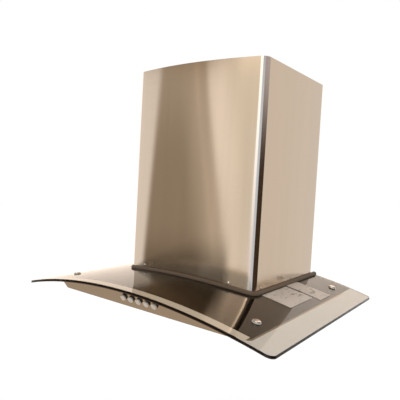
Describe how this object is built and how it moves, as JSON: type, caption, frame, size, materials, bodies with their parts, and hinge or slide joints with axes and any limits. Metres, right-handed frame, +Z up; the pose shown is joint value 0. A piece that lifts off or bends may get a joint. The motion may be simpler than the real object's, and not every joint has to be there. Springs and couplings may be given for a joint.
{
  "type": "curved glass range hood",
  "caption": "Wall range hood with an arched glass canopy, a bowed steel chimney, push buttons, a blower with an impeller and back draught flaps, and hinged grease filters.",
  "frame": {"origin": "on the wall plane, midway between the two hanging slots in the back of the blower box", "axes": "+X to the right of someone facing the hood, +Y into the wall, +Z up"},
  "size_m": [0.6, 0.486, 0.4985],
  "materials": {
    "canopy_glass": "tempered, lightly smoked",
    "black_steel": "satin black",
    "brushed_steel": "brushed stainless, grain across",
    "galvanised": "galvanised sheet",
    "trim": "satin",
    "chrome": "polished",
    "nylon": "natural",
    "black_plastic": "moulded",
    "grey_plastic": "moulded",
    "aluminium": "mill",
    "lamp_lens": "frosted",
    "spring_steel": "bright zinc"
  },
  "bodies": {
    "root": {"glass_canopy": "canopy_glass", "top_plate": "black_steel", "glass_screw_front_left": "chrome", "glass_screw_front_right": "chrome", "glass_screw_rear_left": "chrome", "glass_screw_rear_right": "chrome", "glass_washer_front_left": "nylon", "glass_washer_front_right": "nylon", "glass_washer_rear_left": "nylon", "glass_washer_rear_right": "nylon", "hood_casing": "brushed_steel", "underside_panel": "brushed_steel", "chimney_cover": "brushed_steel", "base_trim": "trim", "chimney_base_frame": "galvanised", "chimney_screw_front_left": "chrome", "chimney_screw_side_left": "chrome", "chimney_screw_front_right": "chrome", "chimney_screw_side_right": "chrome", "chimney_wall_bracket": "galvanised", "bracket_screw_left": "chrome", "bracket_screw_right": "chrome", "blower_box": "galvanised", "fan_scroll": "galvanised", "fan_motor": "galvanised", "motor_bracket": "spring_steel", "outlet_collar": "grey_plastic", "damper_pin": "spring_steel", "junction_box": "black_plastic", "run_capacitor": "nylon", "cable_gland": "black_plastic", "switch_block": "black_plastic", "lamp_bezel_left": "chrome", "lamp_bezel_right": "chrome", "lamp_lens_left": "lamp_lens", "lamp_lens_right": "lamp_lens", "lamp_housing_left": "galvanised", "lamp_housing_right": "galvanised", "filter_rod_left": "spring_steel", "filter_rod_right": "spring_steel", "filter_catch_left": "spring_steel", "filter_catch_right": "spring_steel"},
    "fan_wheel": {"impeller": "aluminium", "motor_shaft": "spring_steel"},
    "front_flap": {"damper_flap_front": "black_plastic"},
    "rear_flap": {"damper_flap_rear": "black_plastic"},
    "left_filter": {"filter_frame_left": "aluminium", "filter_mesh_left": "aluminium", "filter_knob_left": "black_plastic"},
    "right_filter": {"filter_frame_right": "aluminium", "filter_mesh_right": "aluminium", "filter_knob_right": "black_plastic"},
    "push_button_1": {"button_1": "chrome"},
    "push_button_2": {"button_2": "chrome"},
    "push_button_3": {"button_3": "chrome"},
    "push_button_4": {"button_4": "chrome"},
    "push_button_5": {"button_5": "chrome"}
  },
  "joints": [
    {"name": "impeller_spin", "type": "hinge", "parent": "root", "child": "fan_wheel", "pos_m": [0, -0.118, -0.135], "axis": [1, 0, 0], "continuous": true},
    {"name": "front_flap_hinge", "type": "hinge", "parent": "root", "child": "front_flap", "pos_m": [0, -0.181, 0.0318], "axis": [-1, 0, 0], "range_deg": [0, 75]},
    {"name": "rear_flap_hinge", "type": "hinge", "parent": "root", "child": "rear_flap", "pos_m": [0, -0.181, 0.0318], "axis": [1, 0, 0], "range_deg": [0, 75]},
    {"name": "left_filter_hinge", "type": "hinge", "parent": "root", "child": "left_filter", "pos_m": [-0.111, -0.037, -0.294], "axis": [1, 0, 0], "range_deg": [0, 80], "deforming": ["filter_catch_left"]},
    {"name": "right_filter_hinge", "type": "hinge", "parent": "root", "child": "right_filter", "pos_m": [0.111, -0.037, -0.294], "axis": [1, 0, 0], "range_deg": [0, 80], "deforming": ["filter_catch_right"]},
    {"name": "button_1_push", "type": "slide", "parent": "root", "child": "push_button_1", "axis": [0, 0.8944, 0.4472], "range_m": [0, 0.003], "stiffness_N_per_m": 250, "springref_m": -0.002},
    {"name": "button_2_push", "type": "slide", "parent": "root", "child": "push_button_2", "axis": [0, 0.8944, 0.4472], "range_m": [0, 0.003], "stiffness_N_per_m": 250, "springref_m": -0.002},
    {"name": "button_3_push", "type": "slide", "parent": "root", "child": "push_button_3", "axis": [0, 0.8944, 0.4472], "range_m": [0, 0.003], "stiffness_N_per_m": 250, "springref_m": -0.002},
    {"name": "button_4_push", "type": "slide", "parent": "root", "child": "push_button_4", "axis": [0, 0.8944, 0.4472], "range_m": [0, 0.003], "stiffness_N_per_m": 250, "springref_m": -0.002},
    {"name": "button_5_push", "type": "slide", "parent": "root", "child": "push_button_5", "axis": [0, 0.8944, 0.4472], "range_m": [0, 0.003], "stiffness_N_per_m": 250, "springref_m": -0.002}
  ]
}
